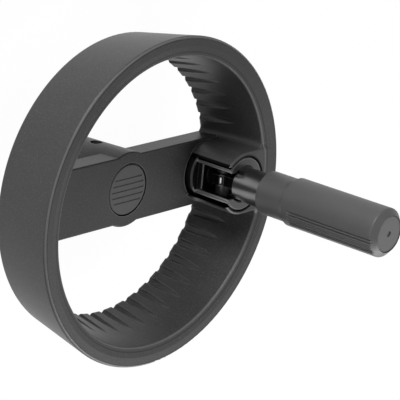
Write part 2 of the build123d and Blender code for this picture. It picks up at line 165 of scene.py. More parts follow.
class Graph:
    """The node tree of one material or rule, with short ways to add and join nodes."""

    def __init__(self, tree: bpy.types.NodeTree) -> None:
        """Empties a node tree.

        Args:
            tree: The tree to build in.
        """
        self.tree = tree
        self.tree.nodes.clear()

    def join(self, target: bpy.types.NodeSocket, value: Any) -> None:
        """Feeds one input socket.

        Args:
            target: The input socket.
            value: A Value to link, or a plain number, colour or vector to set.
        """
        if isinstance(value, Value):
            self.tree.links.new(value.socket, target)
        else:
            target.default_value = value

    def node(self, kind: str, settings: Mapping[str, Any] | None = None,
             inputs: Mapping[Any, Any] | None = None, output: Any = 0) -> Value:
        """Adds a node of any kind.

        Args:
            kind: The node's type name.
            settings: Attributes set before the sockets are fed.
            inputs: Values or links, by socket name or index.
            output: Name or index of the output wanted.

        Returns:
            The chosen output.
        """
        made = self.tree.nodes.new(kind)
        for name, setting in (settings or {}).items():
            setattr(made, name, setting)
        for name, value in (inputs or {}).items():
            self.join(made.inputs[name], value)
        return Value(self, made.outputs[output])

    def math(self, operation: str, *operands: Operand) -> Value:
        """Adds a Math node that has no operator of its own.

        Args:
            operation: The node's operation.
            operands: Its operands in order.

        Returns:
            The result.
        """
        return self.node("ShaderNodeMath", {"operation": operation}, dict(enumerate(operands)))

    def place(self) -> Value:
        """Returns the surface's place in the part's own frame."""
        return self.node("ShaderNodeTexCoord", output="Object")

    def coordinate(self, axis: str) -> Value:
        """Returns one coordinate of the surface's place; other() gives the rest."""
        return self.node("ShaderNodeSeparateXYZ", None, {"Vector": self.place()}, axis)

    def noise(self, size: float, detail: float = 2.0, roughness: float = 0.5,
              stretch: Sequence[float] | None = None) -> Value:
        """Adds a solid noise.

        Args:
            size: Width of one grain in metres.
            detail: Number of octaves.
            roughness: Strength of the finer octaves.
            stretch: Scale of the pattern along each axis, for grains that are drawn out.

        Returns:
            The noise, about 0 to 1.
        """
        place = self.place()
        if stretch is not None:
            place = self.node("ShaderNodeMapping", None, {"Vector": place, "Scale": stretch})
        return self.node("ShaderNodeTexNoise", {"noise_dimensions": "3D"}, {
            "Vector": place, "Scale": 1.0 / size, "Detail": detail, "Roughness": roughness}, "Fac")

    def blend(self, amount: Value, low: Colour, high: Colour) -> Value:
        """Mixes two colours.

        Args:
            amount: 0 for the first colour, 1 for the second.
            low: The first colour.
            high: The second colour.

        Returns:
            The mixed colour.
        """
        return self.node("ShaderNodeMix", {"data_type": "RGBA"}, {
            "Factor": amount, MIX_UNDER: (*low, 1.0), MIX_OVER: (*high, 1.0)}, MIX_RESULT)

    def cover(self, amount: Operand, under: Value, colour: Colour) -> Value:
        """Lays one plain colour over another.

        Args:
            amount: How much of it covers, 0 to 1.
            under: The colour below.
            colour: The colour laid over it.

        Returns:
            The mixed colour.
        """
        return self.node("ShaderNodeMix", {"data_type": "RGBA"}, {
            "Factor": amount, MIX_UNDER: under, MIX_OVER: (*colour, 1.0)}, MIX_RESULT)

    def below(self, height: float, fade: float) -> Value:
        """Finds what lies under a height of the part's frame.

        Args:
            height: The height in metres.
            fade: Over what length the mark fades out upwards.

        Returns:
            1 below the height, 0 more than the fade above it.
        """
        return ((height + fade - self.coordinate("Z")) / fade).least(1.0).most(0.0)

    def above(self, height: float, fade: float) -> Value:
        """Returns what below() leaves: 0 under the height, 1 more than the fade above it."""
        return 1.0 - self.below(height, fade)

    def axis_gap(self, axis_x: float) -> Value:
        """Measures how far the surface is from a line along Z.

        Args:
            axis_x: Where the line stands, along X.

        Returns:
            The distance in metres.
        """
        along = self.coordinate("X")
        across = along - axis_x
        return self.math("SQRT", across * across + along.other("Y") * along.other("Y"))

    def band(self, amount: Value, low: float, high: float, fade: float) -> Value:
        """Marks a band of a measure.

        Args:
            amount: The measure.
            low: Where the band starts.
            high: Where it ends.
            fade: Over what length it fades out on either side.

        Returns:
            1 in the band, 0 beyond its fades.
        """
        rise = ((amount - low) / fade + 1.0).least(1.0).most(0.0)
        fall = ((high - amount) / fade + 1.0).least(1.0).most(0.0)
        return rise * fall

    def edge(self, width: float) -> Value:
        """Finds the part's edges.

        Args:
            width: How far from an edge the mark reaches.

        Returns:
            About 1 along an edge and 0 on a flat face.
        """
        soft = self.node("ShaderNodeBevel", {"samples": BEVEL_SAMPLES}, {"Radius": width})
        flat = self.node("ShaderNodeNewGeometry", output="Normal")
        likeness = self.node(
            "ShaderNodeVectorMath", {"operation": "DOT_PRODUCT"}, {0: soft, 1: flat}, "Value")
        return ((1.0 - likeness) * EDGE_GAIN).least(1.0)

    def bump(self, height: Value, depth: float, over: Value | None = None) -> Value:
        """Turns a height into a normal.

        Args:
            height: The height, 0 to 1.
            depth: How many metres a height of 1 stands for.
            over: A coarser normal that this one lies on.

        Returns:
            The normal.
        """
        inputs: dict[str, Any] = {"Height": height, "Distance": depth, "Strength": 1.0}
        if over is not None:
            inputs["Normal"] = over
        return self.node("ShaderNodeBump", None, inputs, "Normal")


class RuleTree(Graph):
    """A Geometry Nodes tree with named inputs for its sizes."""

    def __init__(self, name: str, sizes: Mapping[str, float]) -> None:
        """Opens a tree.

        Args:
            name: Name of the tree.
            sizes: Each named input with its size.
        """
        super().__init__(bpy.data.node_groups.new(name, "GeometryNodeTree"))
        self.sizes = dict(sizes)
        self.tree.interface.new_socket("Geometry", in_out="INPUT", socket_type="NodeSocketGeometry")
        for label in sizes:
            self.tree.interface.new_socket(label, in_out="INPUT", socket_type="NodeSocketFloat")
        self.tree.interface.new_socket("Geometry", in_out="OUTPUT", socket_type="NodeSocketGeometry")
        self.entry = self.tree.nodes.new("NodeGroupInput")

    def size(self, label: str) -> Value:
        """Returns the named input."""
        return Value(self, self.entry.outputs[label])

    def source(self) -> Value:
        """Returns the geometry that comes in."""
        return Value(self, self.entry.outputs["Geometry"])

    def smooth_step(self, value: Value, low: Operand, high: Operand) -> Value:
        """Rises softly from 0 to 1 between two limits.

        Args:
            value: What is compared.
            low: Where the rise starts.
            high: Where it ends.

        Returns:
            The step, 0 to 1.
        """
        return self.node("ShaderNodeMapRange", {"interpolation_type": "SMOOTHSTEP"}, {
            "Value": value, "From Min": low, "From Max": high})

    def close(self, shape: Value, material: bpy.types.Material) -> None:
        """Ends the tree with real geometry in its finish.

        Args:
            shape: The finished geometry.
            material: The finish.
        """
        real = self.node("GeometryNodeRealizeInstances", None, {"Geometry": shape})
        dressed = self.node("GeometryNodeSetMaterial", None, {"Geometry": real, "Material": material})
        self.join(self.tree.nodes.new("NodeGroupOutput").inputs["Geometry"], dressed)

    def run(self, carrier: bpy.types.Object, name: str) -> bpy.types.Object:
        """Turns the tree's result on a carrier into a plain mesh object.

        Args:
            carrier: Object whose mesh is the source.
            name: Name of the finished piece.

        Returns:
            The piece.
        """
        modifier = carrier.modifiers.new("rule", "NODES")
        modifier.node_group = self.tree
        for item in self.tree.interface.items_tree:
            if item.in_out == "INPUT" and item.name in self.sizes:
                modifier[item.identifier] = float(self.sizes[item.name])
        bpy.context.view_layer.update()
        graph = bpy.context.evaluated_depsgraph_get()
        mesh = bpy.data.meshes.new_from_object(carrier.evaluated_get(graph))
        carrier.modifiers.remove(modifier)
        bpy.data.objects.remove(carrier)
        mesh.name = name
        piece = bpy.data.objects.new(name, mesh)
        bpy.context.scene.collection.objects.link(piece)
        return piece


def point_cloud(name: str, points: Sequence[Sequence[float]]) -> bpy.types.Object:
    """Makes an object of bare points.

    Args:
        name: Name of the object.
        points: The places of its points.

    Returns:
        The object.
    """
    mesh = bpy.data.meshes.new(name)
    mesh.from_pydata([tuple(point) for point in points], [], [])
    cloud = bpy.data.objects.new(name, mesh)
    bpy.context.scene.collection.objects.link(cloud)
    return cloud


def tidy_surface(piece: bpy.types.Object) -> None:
    """Closes seams, turns the faces outwards and keeps only true corners sharp.

    Args:
        piece: The object to tidy.
    """
    shell = bmesh.new()
    shell.from_mesh(piece.data)
    bmesh.ops.remove_doubles(shell, verts=shell.verts, dist=MERGE_GAP)
    bmesh.ops.recalc_face_normals(shell, faces=shell.faces)
    for face in shell.faces:
        face.smooth = True
    for edge in shell.edges:
        edge.smooth = len(edge.link_faces) == 2 and edge.calc_face_angle(0.0) < SHARP_ANGLE
    shell.to_mesh(piece.data)
    shell.free()


class Relief(Enum):
    """How a metal surface was worked, with the scale of its marks along X, Y and Z."""

    TURNED = (0.04, 0.04, 1.0)
    GROUND = (0.04, 1.0, 1.0)
    TUMBLED = (1.0, 1.0, 1.0)


@dataclass(frozen=True)
class Finish:
    """What every finish shares: a name, two close shades, a gloss and painted highlights along the edges.
    """

    name: str
    shade: Colour
    shade_alt: Colour
    roughness: float
    roughness_spread: float
    metallic: float = 0.0
    specular: float = 0.5
    mottle_size: float = 9 * MM
    mottle_detail: float = 3.0
    gloss_share: float = 6.0
    # Colour of the highlight painted along the edges, in patches; None for none.
    edge_highlight: Colour | None = None
    edge_width: float = 0.5 * MM
    edge_patch_size: float = 1.6 * MM
    edge_patch_spread: float = 0.6
    edge_patch_least: float = 0.55
    cache: ClassVar[dict[str, bpy.types.Material]] = {}

    def relief(self, graph: Graph) -> Value | None:
        """Returns the finish's bump normal, or None for a plain surface."""
        return None

    def base(self, graph: Graph) -> Value:
        """Returns the shade with its mottle."""
        return graph.blend(graph.noise(self.mottle_size, self.mottle_detail), self.shade, self.shade_alt)

    def colour(self, graph: Graph) -> Value:
        """Paints a highlight in patches along the edges.

        Args:
            graph: The material's graph.

        Returns:
            The surface's colour.
        """
        shade = self.base(graph)
        if self.edge_highlight is None:
            return shade
        patches = graph.noise(self.edge_patch_size) * self.edge_patch_spread + self.edge_patch_least
        return graph.cover((graph.edge(self.edge_width) * patches).least(1.0), shade, self.edge_highlight)

    def metal(self, graph: Graph) -> Operand:
        """Returns how much of a metal the surface is."""
        return self.metallic

    def material(self) -> bpy.types.Material:
        """Builds the material, once for all the pieces that wear it.

        Returns:
            The material.
        """
        if self.name in Finish.cache:
            return Finish.cache[self.name]
        made = bpy.data.materials.new(self.name)
        made.use_nodes = True
        graph = Graph(made.node_tree)
        patches = graph.noise(self.mottle_size / self.gloss_share) * self.roughness_spread
        inputs: dict[str, Any] = {
            "Base Color": self.colour(graph),
            "Roughness": patches + (self.roughness - self.roughness_spread / 2),
            "Metallic": self.metal(graph),
            "Specular IOR Level": self.specular,
        }
        normal = self.relief(graph)
        if normal is not None:
            inputs["Normal"] = normal
        shader = graph.node("ShaderNodeBsdfPrincipled", None, inputs)
        graph.join(graph.tree.nodes.new("ShaderNodeOutputMaterial").inputs["Surface"], shader)
        Finish.cache[self.name] = made
        return made


@dataclass(frozen=True)
class Ring:
    """A painted ring: its inner and outer radius, and how softly and how strongly it is laid on."""

    low: float
    high: float
    fade: float
    amount: float = 1.0

    def mark(self, graph: Graph, gap: Value) -> Value:
        """Marks the ring.

        Args:
            graph: The material's graph.
            gap: Distance from the ring's axis.

        Returns:
            The ring's amount on it, 0 elsewhere.
        """
        band = graph.band(gap, self.low, self.high, self.fade)
        return band if self.amount == 1.0 else band * self.amount


@dataclass(frozen=True)
class PowderCoat(Finish):
    """Fine-textured powder coat on a casting: small close grains over a slow orange peel.

    Rings round the wheel's axis paint highlights and dark lines of painted shade on its front.
    Painted shade darkens the ring round the housing and the walls of the fold pocket, and a painted
    highlight ring lies beside the housing on the hub side.
    """

    grain: float = 0.7 * MM
    grain_depth: float = 0.035 * MM
    grain_detail: float = 3.0
    grain_roughness: float = 0.6
    peel: float = 2.6 * MM
    peel_depth: float = 0.03 * MM
    speck_size: float = 0.75 * MM
    speck_gain: float = 3.0
    speck_amount: float = 0.5
    speck_shade: Colour = (0.12, 0.12, 0.122)
    # Colour of the painted highlights: rings along the front's edges, the ring beside the housing, the
    # edges.
    painted_highlight: Colour = (0.26, 0.26, 0.262)
    # Colour of the painted shade in the gap, in the pocket and in the dark lines of the front.
    painted_shade: Colour = (0.004, 0.004, 0.004)
    front: float = 58.0 * MM
    corner: float = 59.35 * MM
    front_fade: float = 0.2 * MM
    # Painted highlights along the front's inner and outer rounded edges.
    inner_edge_highlight: Ring = Ring(70.4 * MM, 70.9 * MM, 0.2 * MM, 0.5)
    outer_edge_highlight: Ring = Ring(79.2 * MM, 81.0 * MM, 0.2 * MM, 0.45)
    # Painted shade: dark lines beside both rounded edges of the front.
    outer_crease_shade: Ring = Ring(78.5 * MM, 78.9 * MM, 0.2 * MM)
    inner_crease_shade: Ring = Ring(72.2 * MM, 72.6 * MM, 0.2 * MM)
    crease_shade_amount: float = 0.8
    boss_x: float = 55.0 * MM
    # Painted shade in the gap round the housing.
    gap_shade_ring: Ring = Ring(13.6 * MM, 14.35 * MM, 0.15 * MM)
    # A painted highlight ring beside the housing, on the hub side.
    lit_ring: Ring = Ring(14.6 * MM, 14.9 * MM, 0.15 * MM)
    lit_fade: float = 6.0 * MM
    lit_amount: float = 0.7
    # Painted shade on the walls of the fold pocket.
    pocket: float = 15.9 * MM
    pocket_half: float = 11.1 * MM
    pocket_top: float = 59.3 * MM
    pocket_back: float = 35.0 * MM
    pocket_fade: float = 0.1 * MM
    top_fade: float = 0.3 * MM

    def painted_shade_mask(self, graph: Graph) -> Value:
        """Marks where shade is painted: the ring round the housing and the walls of the fold pocket.

        Args:
            graph: The material's graph.

        Returns:
            1 in the painted shade, 0 elsewhere.
        """
        gap = graph.axis_gap(self.boss_x)
        aside = graph.math("ABSOLUTE", graph.coordinate("Y"))
        walls = graph.band(aside, LOWEST, self.pocket_half, self.pocket_fade)
        walls = walls * graph.band(gap, LOWEST, self.pocket, self.pocket_fade)
        walls = walls * graph.below(self.pocket_top, self.top_fade)
        walls = walls * graph.above(self.pocket_back, self.pocket_fade)
        return self.gap_shade_ring.mark(graph, gap).most(walls)

    def metal(self, graph: Graph) -> Operand:
        """Returns 1 in the painted shade, where dark metal takes the coat's gloss away."""
        return self.painted_shade_mask(graph)

    def base(self, graph: Graph) -> Value:
        """Lays specks, painted highlight rings and dark lines of painted shade on the coat.

        Args:
            graph: The material's graph.

        Returns:
            The coat's shade.
        """
        gap = graph.axis_gap(0.0)
        front = graph.above(self.front, self.front_fade)
        corner = graph.above(self.corner, self.front_fade)
        specks = ((graph.noise(self.speck_size, 1.0) - 0.5) * self.speck_gain).least(1.0).most(0.0)
        shade = graph.cover(specks * self.speck_amount, super().base(graph), self.speck_shade)
        # Painted highlights along the front's rounded edges.
        shade = graph.cover(self.inner_edge_highlight.mark(graph, gap) * front, shade, self.painted_highlight)
        shade = graph.cover(self.outer_edge_highlight.mark(graph, gap) * corner, shade, self.painted_highlight)
        # Painted shade: dark lines beside the front's rounded edges.
        crease_shade = self.outer_crease_shade.mark(graph, gap).most(self.inner_crease_shade.mark(graph, gap)) * front
        shade = graph.cover(crease_shade * self.crease_shade_amount, shade, self.painted_shade)
        # A painted highlight ring beside the housing, on the hub side only.
        lit = self.lit_ring.mark(graph, graph.axis_gap(self.boss_x))
        lit = lit * graph.band(graph.coordinate("X"), LOWEST, self.boss_x - self.lit_fade, self.lit_fade)
        return graph.cover(lit * self.lit_amount, shade, self.painted_highlight)

    def colour(self, graph: Graph) -> Value:
        """Returns the coat's shade with the painted shade laid over its painted edge highlights too."""
        return graph.cover(self.painted_shade_mask(graph), super().colour(graph), self.painted_shade)

    def relief(self, graph: Graph) -> Value | None:
        """Lays the grain over the slow peel.

        Args:
            graph: The material's graph.

        Returns:
            The normal of both.
        """
        coarse = graph.bump(graph.noise(self.peel, 1.0), self.peel_depth)
        grains = graph.noise(self.grain, self.grain_detail, self.grain_roughness)
        return graph.bump(grains, self.grain_depth, coarse)


@dataclass(frozen=True)
class Moulding(Finish):
    """Satin moulded plastic with a faint spark-eroded texture."""

    grain: float = 0.6 * MM
    grain_depth: float = 0.025 * MM

    def relief(self, graph: Graph) -> Value | None:
        """Returns the normal of the fine texture."""
        return graph.bump(graph.noise(self.grain), self.grain_depth)


@dataclass(frozen=True)
class Metal(Finish):
    """Machined steel or bronze with the marks of how it was worked, and painted shade below a height."""

    worked: Relief = Relief.TUMBLED
    line: float = 0.18 * MM
    line_depth: float = 0.002 * MM
    # Height under which shade is painted on the metal; None for none.
    shade_below: float | None = None
    shade_fade: float = 0.6 * MM
    shadow_shade: Colour = (0.03, 0.03, 0.031)

    def base(self, graph: Graph) -> Value:
        """Paints shade on the metal below its height, where it has one.

        Args:
            graph: The material's graph.

        Returns:
            The metal's shade.
        """
        shade = super().base(graph)
        if self.shade_below is None:
            return shade
        return graph.cover(graph.below(self.shade_below, self.shade_fade), shade, self.shadow_shade)

    def relief(self, graph: Graph) -> Value | None:
        """Returns the normal of the tool marks."""
        return graph.bump(graph.noise(self.line, 1.0, stretch=self.worked.value), self.line_depth)


@dataclass(frozen=True)
class CupSteel(Metal):
    """Steel of the housing: satin face, painted highlights on the lips along the slot, painted shade
    inside and at the gap, and painted light on the bore's far wall.

    Radii are measured from the handle's axis, half widths from the plane that splits the slot.
    """

    axis_x: float = 55.0 * MM
    bore: float = 9.2 * MM
    # Height under which the bore is painted in shade.
    bore_shade_height: float = 45.0 * MM
    bore_fade: float = 2.0 * MM
    slot_half: float = 6.55 * MM
    outside: float = 9.6 * MM
    lip: float = 59.5 * MM
    lip_half: float = 8.45 * MM
    lip_fade: float = 0.2 * MM
    # Colour of the painted highlights on the lips, the nose and the ring inside the gap.
    lip_highlight: Colour = (0.34, 0.34, 0.35)
    nose: float = 12.6 * MM
    nose_low: float = 37.2 * MM
    nose_height: float = 38.5 * MM
    # A painted highlight ring just inside the gap.
    light_ring: Ring = Ring(12.55 * MM, 12.8 * MM, 0.15 * MM, 0.2)
    # A ring of painted shade at the gap round the housing.
    dark_ring: Ring = Ring(12.85 * MM, 14.0 * MM, 0.1 * MM)
    # Colour of the painted shade at the gap and round the outside.
    gap_shadow: Colour = (0.006, 0.006, 0.006)
    face_shade: Colour = (0.04, 0.04, 0.041)
    face_amount: float = 0.6
    face_metal: float = 0.25
    # Painted light on the upper part of the bore's far wall.
    far_side: float = 57.0 * MM
    far_fade: float = 1.0 * MM
    far_wall_light: Colour = (0.3, 0.3, 0.305)
    sharp: float = 0.1 * MM

    def far_wall(self, graph: Graph) -> Value:
        """Marks where light is painted: the upper part of the bore's wall on the side away from the hub.

        Args:
            graph: The material's graph.

        Returns:
            1 on that wall, 0 elsewhere.
        """
        wall = graph.band(graph.axis_gap(self.axis_x), LOWEST, self.bore, self.sharp)
        wall = wall * graph.band(graph.coordinate("X"), self.far_side, HIGHEST, self.far_fade)
        return wall * graph.below(self.lip, self.sharp) * graph.above(self.bore_shade_height, self.bore_fade)

    def metal(self, graph: Graph) -> Operand:
        """Returns 1 for bright steel, less on the phosphated face and 0 on the bore's far wall, where light
        is painted.
        """
        dulled = graph.above(self.lip, self.sharp) * (1.0 - self.face_metal)
        return (1.0 - self.far_wall(graph)) * (1.0 - dulled)

    def face(self, graph: Graph, gap: Value) -> Value:
        """Lays the phosphate, a painted highlight ring and a ring of painted shade at the gap on the
        housing's face.

        Args:
            graph: The material's graph.
            gap: Distance from the handle's axis.

        Returns:
            The shade of the face.
        """
        phosphate = graph.above(self.lip, self.sharp) * self.face_amount
        shade = graph.cover(phosphate, super().base(graph), self.face_shade)
        shade = graph.cover(self.light_ring.mark(graph, gap), shade, self.lip_highlight)
        return graph.cover(self.dark_ring.mark(graph, gap), shade, self.gap_shadow)

    def base(self, graph: Graph) -> Value:
        """Adds the painted highlights on the lips and the nose, the painted shade in the slot, the bore,
        below the nose and round the outside, and the painted light on the far wall to the face.

        Args:
            graph: The material's graph.

        Returns:
            The housing's shade.
        """
        gap = graph.axis_gap(self.axis_x)
        along = graph.coordinate("X")
        aside, height = graph.math("ABSOLUTE", along.other("Y")), along.other("Z")
        outside = graph.band(gap, self.outside, HIGHEST, self.lip_fade)
        outside = outside * graph.band(height, self.nose_height, self.lip, self.sharp)
        lips = outside * graph.band(aside, LOWEST, self.lip_half, self.lip_fade)
        slot = graph.band(aside, LOWEST, self.slot_half, self.sharp) * graph.below(self.lip, self.sharp)
        slot = slot * graph.band(along, LOWEST, self.axis_x, self.sharp)
        well = graph.band(gap, LOWEST, self.bore, self.sharp) * graph.below(self.bore_shade_height, self.bore_fade)
        end = graph.band(gap, self.nose, HIGHEST, self.sharp)
        end = end * graph.band(height, self.nose_low, self.nose_height, self.sharp)
        low = graph.below(self.nose_height, self.sharp)
        # Painted shade below the nose and round the outside between the lips.
        shade = graph.cover(low, self.face(graph, gap), self.shadow_shade)
        shade = graph.cover(outside, shade, self.gap_shadow)
        # Painted highlight on the lips.
        shade = graph.cover(lips, shade, self.lip_highlight)
        # Painted shade in the slot and deep in the bore.
        shade = graph.cover(slot.most(well), shade, self.shadow_shade)
        # Painted light on the bore's far wall.
        shade = graph.cover(self.far_wall(graph), shade, self.far_wall_light)
        # Painted highlight on the nose.
        return graph.cover(end, shade, self.lip_highlight)


@dataclass(frozen=True)
class StemSteel(Metal):
    """Turned steel of the handle's stem, with a painted glint on the hub side of its heel."""

    axis_x: float = 55.0 * MM
    # A painted glint on the hub side of the heel.
    glint_half: float = 0.9 * MM
    glint_side_fade: float = 0.9 * MM
    glint_low: float = 49.95 * MM
    glint_high: float = 50.25 * MM
    glint_fade: float = 0.3 * MM
    glint_end_fade: float = 0.1 * MM
    glint_shade: Colour = (0.5, 0.5, 0.51)

    def base(self, graph: Graph) -> Value:
        """Paints a glint line on the hub side of the heel, over its painted shade.

        Args:
            graph: The material's graph.

        Returns:
            The stem's shade.
        """
        along = graph.coordinate("X")
        aside = graph.math("ABSOLUTE", along.other("Y"))
        # Painted glint: a light line across the heel.
        line = graph.band(aside, LOWEST, self.glint_half, self.glint_side_fade)
        line = line * graph.band(along.other("Z"), self.glint_low, self.glint_high, self.glint_fade)
        line = line * graph.band(along, LOWEST, self.axis_x, self.glint_end_fade)
        return graph.cover(line, super().base(graph), self.glint_shade)


COAT = PowderCoat("powder_coat", (0.040, 0.040, 0.041), (0.050, 0.050, 0.051), 0.40, 0.10, specular=0.3,
                  edge_highlight=PowderCoat.painted_highlight, edge_width=0.7 * MM)
GRIP_PLASTIC = Moulding("grip_moulding", (0.082, 0.082, 0.083), (0.092, 0.092, 0.093), 0.46, 0.08,
                        edge_highlight=(0.12, 0.12, 0.122), edge_width=0.5 * MM)
END_CAP = Moulding("end_cap_moulding", (0.15, 0.15, 0.151), (0.165, 0.165, 0.167), 0.44, 0.08)
HUB_CAP = Moulding("hub_cap_moulding", (0.062, 0.062, 0.064), (0.072, 0.072, 0.074), 0.5, 0.08)
CUP_STEEL = CupSteel("satin_cup_steel", (0.08, 0.08, 0.083), (0.1, 0.1, 0.103), 0.36, 0.08, 1.0,
                     edge_highlight=(0.36, 0.36, 0.37), edge_width=0.45 * MM, shadow_shade=(0.035, 0.035, 0.036))
BLACK_STEEL = Metal("blackened_steel", (0.05, 0.05, 0.052), (0.065, 0.065, 0.067), 0.4, 0.08, 0.6)
# Painted shade on the stem below 58.2 mm, deep in the housing, and painted highlights on its edges.
NECK_STEEL = StemSteel("turned_steel", (0.2, 0.2, 0.205), (0.24, 0.24, 0.245), 0.29, 0.05, 1.0,
                       edge_highlight=(0.4, 0.4, 0.41), edge_width=0.3 * MM, worked=Relief.TURNED,
                       line_depth=0.0006 * MM, shade_below=58.2 * MM, shadow_shade=(0.012, 0.012, 0.0125))
BRIGHT_STEEL = Metal("ground_steel", (0.45, 0.45, 0.46), (0.5, 0.5, 0.51), 0.3, 0.08, 1.0,
                     worked=Relief.GROUND)
BRONZE = Metal("sintered_bronze", (0.42, 0.29, 0.14), (0.46, 0.32, 0.16), 0.42, 0.08, 1.0)


@dataclass
class Assembly:
    """A group of nodes that share a body, with the finish of each."""

    name: str
    finishes: Mapping[str, Finish]

    def build(self, nodes: Mapping[str, bpy.types.Object]) -> None:
        """Gives every node of the group its finish.

        Args:
            nodes: The frame's objects by node name.
        """
        for node, finish in self.finishes.items():
            mesh = nodes[node].data
            mesh.materials.clear()
            mesh.materials.append(finish.material())
            LOG.info("%s: %s in %s", self.name, node, finish.name)


@dataclass
class Wheel(Assembly):
    """The coated casting with its bush, cap and set screw."""

    name: str = "wheel"
    finishes: Mapping[str, Finish] = field(default_factory=lambda: {
        "wheel_body": COAT, "hub_bush": BRIGHT_STEEL, "hub_cap": HUB_CAP, "hub_set_screw": BLACK_STEEL})


@dataclass
class Housing(Assembly):
    """The steel cup in the boss with the pivot and the detent."""

    name: str = "housing"
    finishes: Mapping[str, Finish] = field(default_factory=lambda: {
        "handle_housing": CUP_STEEL, "housing_screw": BLACK_STEEL, "housing_dowel": BRIGHT_STEEL,
        "pivot_pin": BRIGHT_STEEL, "pivot_spacers": BLACK_STEEL, "detent_plunger": BLACK_STEEL})
    axis_x: float = 55.0 * MM
    wire: float = 0.4 * MM
    coil: float = 3.4 * MM
    turns: float = 4.5
    steps: int = 64
    sides: int = 14
    press: float = 1.0 * MM

    def spring(self) -> bpy.types.Object:
        """Winds the detent's spring as high as its plain solid.

        Returns:
            The coil.
        """
        low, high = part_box("detent_spring")
        length = high[2] - low[2]
        tree = RuleTree("spring_rule", {
            "Wire": self.wire, "Coil": self.coil, "Turns": self.turns, "Height": length - 2 * self.wire,
            "Axis X": self.axis_x, "Base": low[2] + self.wire})
        line = tree.node("GeometryNodeCurveSpiral", None, {
            "Resolution": self.steps, "Rotations": tree.size("Turns"), "Start Radius": tree.size("Coil"),
            "End Radius": tree.size("Coil"), "Height": tree.size("Height")}, "Curve")
        section = tree.node("GeometryNodeCurvePrimitiveCircle", None, {
            "Resolution": self.sides, "Radius": tree.size("Wire")}, "Curve")
        tube = tree.node("GeometryNodeCurveToMesh", None, {
            "Curve": line, "Profile Curve": section, "Fill Caps": True})
        spot = tree.node("ShaderNodeCombineXYZ", None, {
            "X": tree.size("Axis X"), "Y": 0.0, "Z": tree.size("Base")})
        tree.close(tree.node("GeometryNodeTransform", None, {"Geometry": tube, "Translation": spot}),
                   BRIGHT_STEEL.material())
        piece = tree.run(point_cloud("spring_seed", [(0.0, 0.0, 0.0)]), "detent_coil")
        tidy_surface(piece)
        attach(piece, "wheel")
        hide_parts("detent_spring")
        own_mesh(piece)
        return piece

    def build(self, nodes: Mapping[str, bpy.types.Object]) -> None:
        """Dresses the carried nodes and winds the spring."""
        super().build(nodes)
        LOG.info("%s: %s in %s", self.name, self.spring().name, BRIGHT_STEEL.name)


@dataclass
class Handle(Assembly):
    """The folding stem with its washers and screw."""

    name: str = "handle"
    finishes: Mapping[str, Finish] = field(default_factory=lambda: {
        "handle_stem": NECK_STEEL, "thrust_washer": BRIGHT_STEEL, "spring_washer": BRIGHT_STEEL,
        "retaining_washer": BRIGHT_STEEL, "retaining_screw": BLACK_STEEL})


